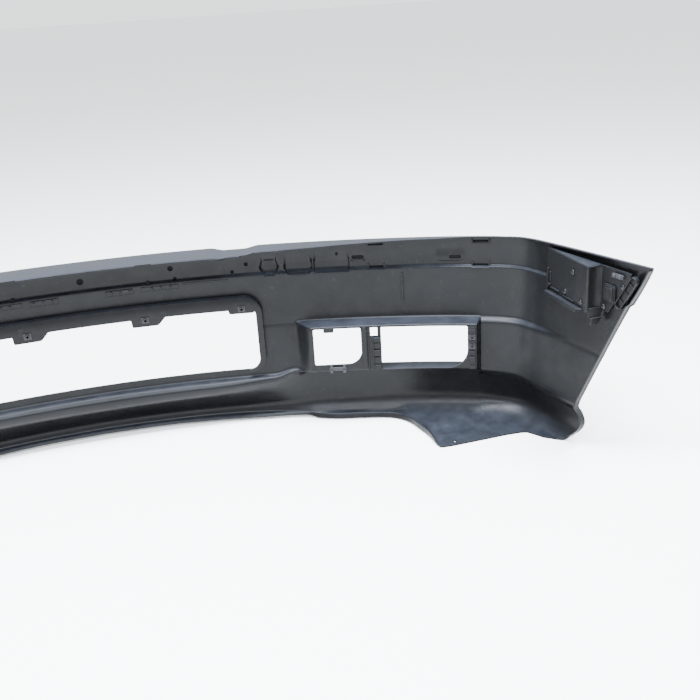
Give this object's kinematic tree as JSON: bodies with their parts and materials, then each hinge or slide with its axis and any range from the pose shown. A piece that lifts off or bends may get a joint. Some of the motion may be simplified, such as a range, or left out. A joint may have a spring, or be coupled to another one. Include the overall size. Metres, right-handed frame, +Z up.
{
  "type": "front bumper cover",
  "caption": "Moulded front bumper cover with a wide air opening, ducts, lamp openings, a deep lower lip and riveted side brackets.",
  "frame": {"origin": "centre of the bounding box at its lowest plane", "axes": "+X to the car's left, -Y the painted front face, +Y the hollow inner side, +Z up"},
  "size_m": [1.6906, 0.527, 0.3701],
  "materials": {
    "skin": "satin moulded black polypropylene",
    "bracket": "matt black moulded plastic",
    "clip": "smooth dark grey nylon",
    "rail": "satin black nylon",
    "rivet": "dull blind-rivet aluminium",
    "zinc": "zinc-plated spring steel"
  },
  "bodies": {
    "root": {"cover_skin": "skin", "side_bracket_left": "bracket", "side_bracket_right": "bracket", "guide_rail_left": "rail", "guide_rail_right": "rail", "backing_plate_left": "bracket", "backing_plate_right": "bracket", "box_rivet_1_left": "rivet", "box_rivet_1_right": "rivet", "box_rivet_2_left": "rivet", "box_rivet_2_right": "rivet", "box_rivet_3_left": "rivet", "box_rivet_3_right": "rivet", "wall_rivet_1_left": "rivet", "wall_rivet_1_right": "rivet", "wall_rivet_2_left": "rivet", "wall_rivet_2_right": "rivet", "grille_nut_1_left": "zinc", "grille_nut_1_right": "zinc", "grille_nut_2_left": "zinc", "grille_nut_2_right": "zinc", "lamp_nut_1_left": "zinc", "lamp_nut_1_right": "zinc", "lamp_nut_2_left": "zinc", "lamp_nut_2_right": "zinc", "duct_clip_left": "clip", "duct_clip_right": "clip", "wall_clip_left": "clip", "wall_clip_right": "clip"}
  },
  "joints": []
}
